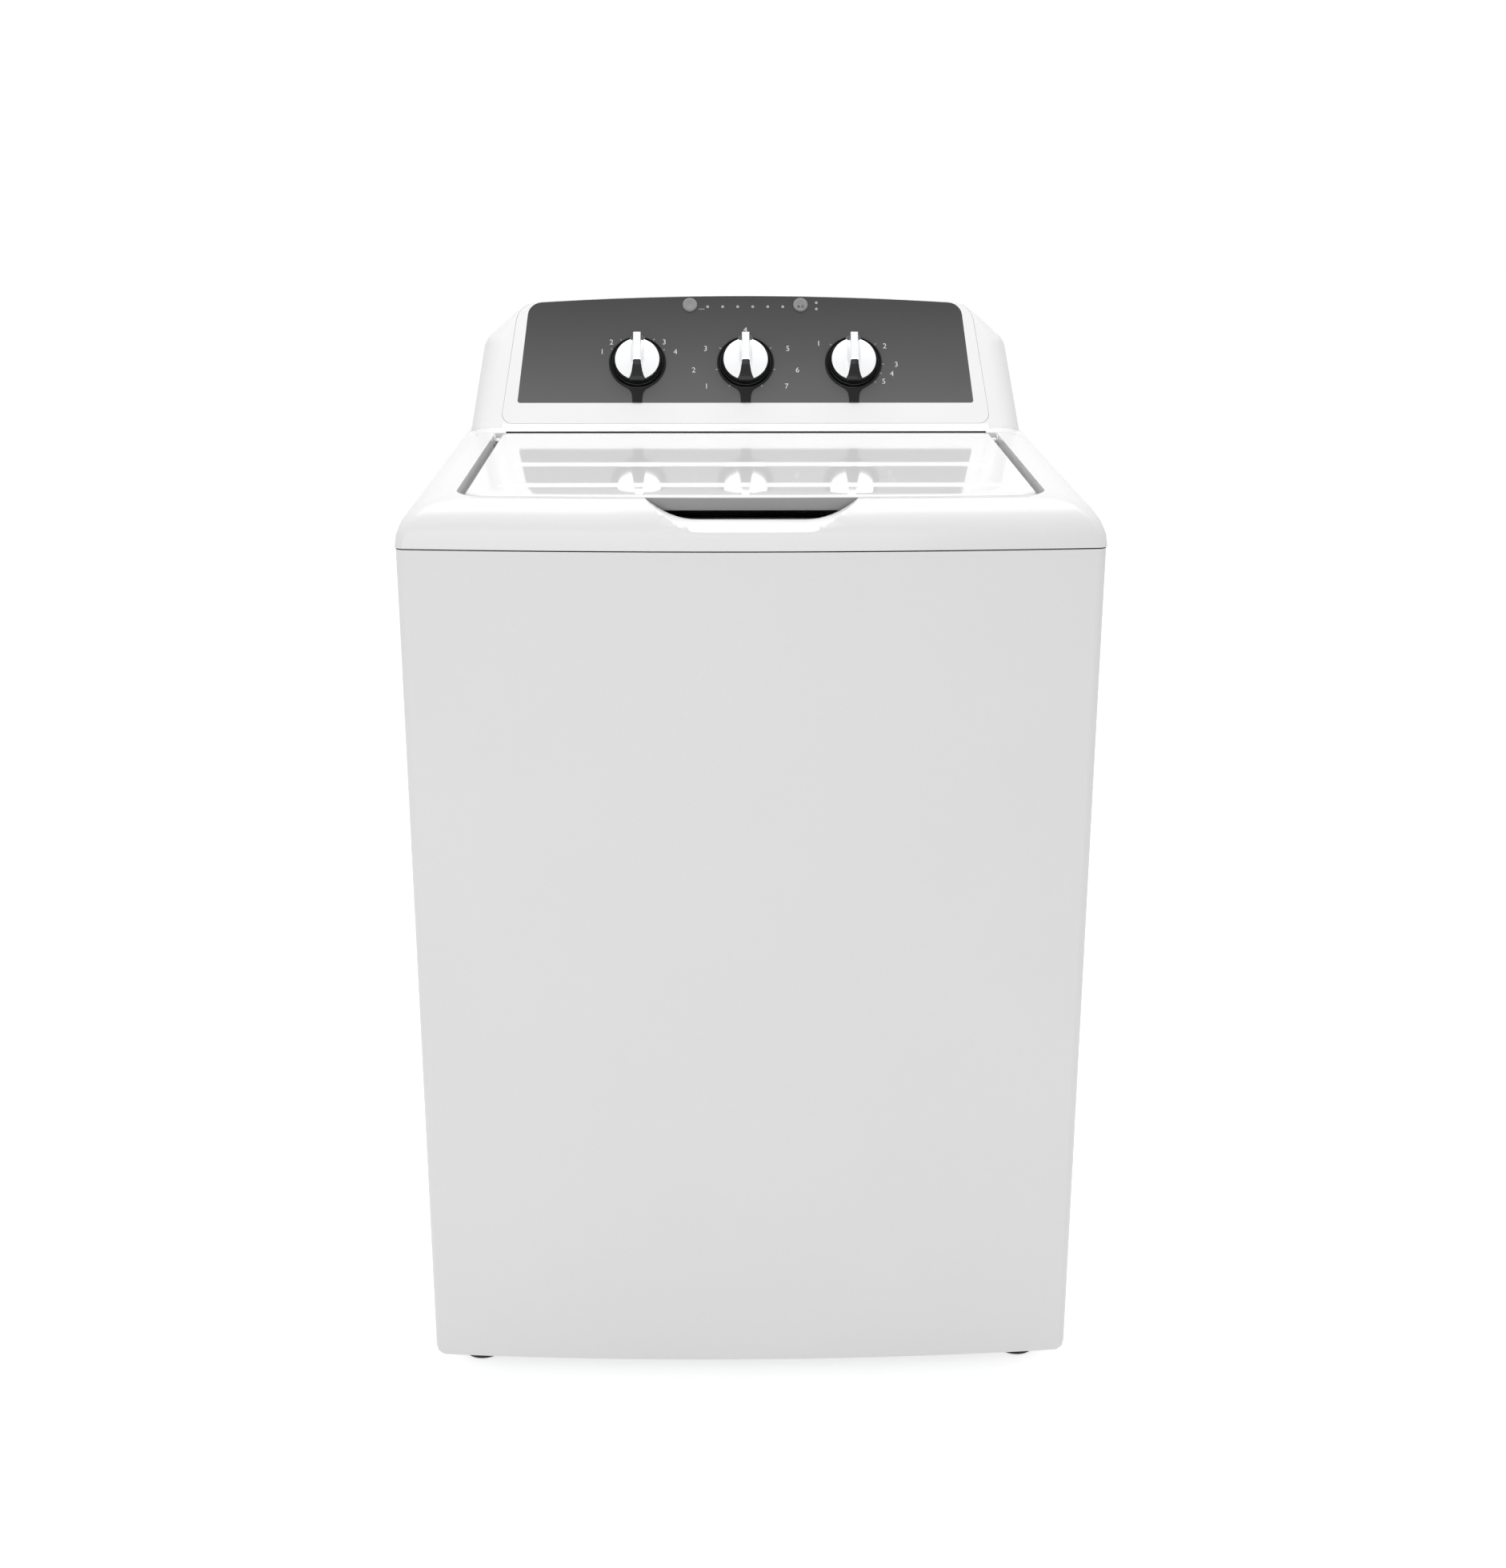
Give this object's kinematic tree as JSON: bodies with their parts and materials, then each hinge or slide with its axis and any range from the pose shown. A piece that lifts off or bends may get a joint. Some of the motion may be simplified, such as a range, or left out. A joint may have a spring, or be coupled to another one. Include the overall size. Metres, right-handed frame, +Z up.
{
  "type": "top load washing machine",
  "caption": "Top load washing machine with hinged flush lid, raised control console, suspended tub with spinning basket and agitator, and levelling legs.",
  "frame": {"origin": "on the floor under the middle of the bounding box", "axes": "+Z up, the front faces -Y, +X to the right seen from the front"},
  "size_m": [0.69, 0.686, 1.118],
  "materials": {
    "painted_steel": "satin white enamel",
    "white_plastic": "gloss white moulding",
    "overlay": "glossy dark grey printed panel",
    "black_gloss": "gloss black",
    "knob_silver": "satin silver plated plastic on a black skirt",
    "button_grey": "satin light grey",
    "lens": "frosted lamp lens",
    "galvanised": "zinc coated sheet",
    "steel": "plated steel",
    "stainless": "brushed stainless drum",
    "grey_plastic": "moulded polypropylene",
    "light_plastic": "moulded polypropylene",
    "dark_plastic": "matt black moulding",
    "rubber": "black rubber",
    "hose_rubber": "ribbed hose",
    "aluminium": "die cast",
    "motor_shell": "black painted end bells",
    "circuit_board": "lacquered board",
    "valve_plastic": "glass filled nylon"
  },
  "bodies": {
    "cabinet": {"base_frame": "galvanised", "cabinet_wrapper": "painted_steel", "rear_panel": "galvanised", "corner_brackets": "galvanised", "cabinet_screws": "steel", "top_cover": "painted_steel", "bleach_dispenser": "light_plastic", "lid_lock_housing": "dark_plastic", "hinge_bushings": "light_plastic", "console_body": "white_plastic", "console_fascia": "white_plastic", "control_overlay": "overlay", "dial_bezels": "black_gloss", "indicator_lenses": "lens", "console_rear_cover": "galvanised", "control_board": "circuit_board", "inlet_valve": "valve_plastic", "fill_spout": "hose_rubber", "cord_inlet": "dark_plastic", "drain_port": "dark_plastic", "drain_hose": "hose_rubber", "leg_locknuts": "steel", "suspension_rods": "steel", "suspension_springs": "steel"},
    "tub_unit": {"outer_tub": "grey_plastic", "tub_ring": "light_plastic", "suspension_cups": "light_plastic", "gearcase": "aluminium", "spin_bearings": "steel", "tub_seal": "rubber", "drive_motor": "motor_shell", "drive_belt": "rubber", "drain_pump": "light_plastic"},
    "basket_unit": {"basket": "stainless", "basket_base": "stainless", "balance_ring": "light_plastic", "basket_hub": "aluminium", "spin_tube": "steel"},
    "agitator_unit": {"drive_shaft": "steel", "agitator": "white_plastic", "agitator_bolt": "steel", "agitator_cap": "white_plastic"},
    "drive_pulley": {"drive_pulley": "aluminium"},
    "motor_pulley": {"motor_pulley": "aluminium"},
    "pump_impeller": {"pump_impeller": "grey_plastic"},
    "lid": {"lid_panel": "painted_steel", "lid_liner": "light_plastic", "lid_hinge_pins": "steel", "lid_bumpers": "rubber", "lid_strike": "steel"},
    "lid_lock_bolt": {"lid_lock_bolt": "steel"},
    "water_level_knob": {"water_level_knob": "knob_silver"},
    "cycle_knob": {"cycle_knob": "knob_silver"},
    "temperature_knob": {"temperature_knob": "knob_silver"},
    "option_button": {"option_button": "button_grey"},
    "start_button": {"start_button": "button_grey"},
    "front_left_leg": {"front_left_leg": "rubber"},
    "front_right_leg": {"front_right_leg": "rubber"},
    "rear_left_leg": {"rear_left_leg": "rubber"},
    "rear_right_leg": {"rear_right_leg": "rubber"}
  },
  "joints": [
    {"name": "lid_hinge", "type": "hinge", "parent": "cabinet", "child": "lid", "pos_m": [0, 0.094, 0.965], "axis": [-1, 0, 0], "range_deg": [0, 105]},
    {"name": "lid_lock", "type": "slide", "parent": "cabinet", "child": "lid_lock_bolt", "axis": [-1, 0, 0], "range_m": [0, 0.008]},
    {"name": "water_level_turn", "type": "hinge", "parent": "cabinet", "child": "water_level_knob", "pos_m": [-0.127, 0.18352, 1.04264], "axis": [0, 0.8572, -0.515], "range_deg": [-60, 60]},
    {"name": "cycle_turn", "type": "hinge", "parent": "cabinet", "child": "cycle_knob", "pos_m": [0, 0.18352, 1.04264], "axis": [0, 0.8572, -0.515], "continuous": true},
    {"name": "temperature_turn", "type": "hinge", "parent": "cabinet", "child": "temperature_knob", "pos_m": [0.127, 0.18352, 1.04264], "axis": [0, 0.8572, -0.515], "range_deg": [-50, 135]},
    {"name": "option_press", "type": "slide", "parent": "cabinet", "child": "option_button", "axis": [0, 0.8572, -0.515], "range_m": [0, 0.0012], "stiffness_N_per_m": 1500, "springref_m": -0.0003},
    {"name": "start_press", "type": "slide", "parent": "cabinet", "child": "start_button", "axis": [0, 0.8572, -0.515], "range_m": [0, 0.0012], "stiffness_N_per_m": 1500, "springref_m": -0.0003},
    {"name": "tub_bounce", "type": "slide", "parent": "cabinet", "child": "tub_unit", "axis": [0, 0, 1], "range_m": [-0.02, 0.012], "stiffness_N_per_m": 16000, "springref_m": 0.01901, "deforming": ["suspension_springs", "drain_hose"]},
    {"name": "basket_spin", "type": "hinge", "parent": "tub_unit", "child": "basket_unit", "pos_m": [0, -0.022, 0], "axis": [0, 0, 1], "continuous": true},
    {"name": "agitator_turn", "type": "hinge", "parent": "tub_unit", "child": "agitator_unit", "pos_m": [0, -0.022, 0], "axis": [0, 0, 1], "continuous": true},
    {"name": "drive_pulley_spin", "type": "hinge", "parent": "tub_unit", "child": "drive_pulley", "pos_m": [0, -0.022, 0], "axis": [0, 0, 1], "continuous": true},
    {"name": "motor_spin", "type": "hinge", "parent": "tub_unit", "child": "motor_pulley", "pos_m": [0.19, -0.022, 0], "axis": [0, 0, 1], "continuous": true},
    {"name": "impeller_spin", "type": "hinge", "parent": "tub_unit", "child": "pump_impeller", "pos_m": [-0.15, -0.082, 0], "axis": [0, 0, 1], "continuous": true},
    {"name": "front_left_leg_screw", "type": "slide", "parent": "cabinet", "child": "front_left_leg", "axis": [0, 0, 1], "range_m": [-0.014, 0.006]},
    {"name": "front_right_leg_screw", "type": "slide", "parent": "cabinet", "child": "front_right_leg", "axis": [0, 0, 1], "range_m": [-0.014, 0.006]},
    {"name": "rear_left_leg_screw", "type": "slide", "parent": "cabinet", "child": "rear_left_leg", "axis": [0, 0, 1], "range_m": [-0.014, 0.006]},
    {"name": "rear_right_leg_screw", "type": "slide", "parent": "cabinet", "child": "rear_right_leg", "axis": [0, 0, 1], "range_m": [-0.014, 0.006]}
  ],
  "couplings": [
    {"joint": "drive_pulley_spin", "follows": "agitator_turn", "ratio": 4},
    {"joint": "motor_spin", "follows": "agitator_turn", "ratio": 15.455}
  ]
}
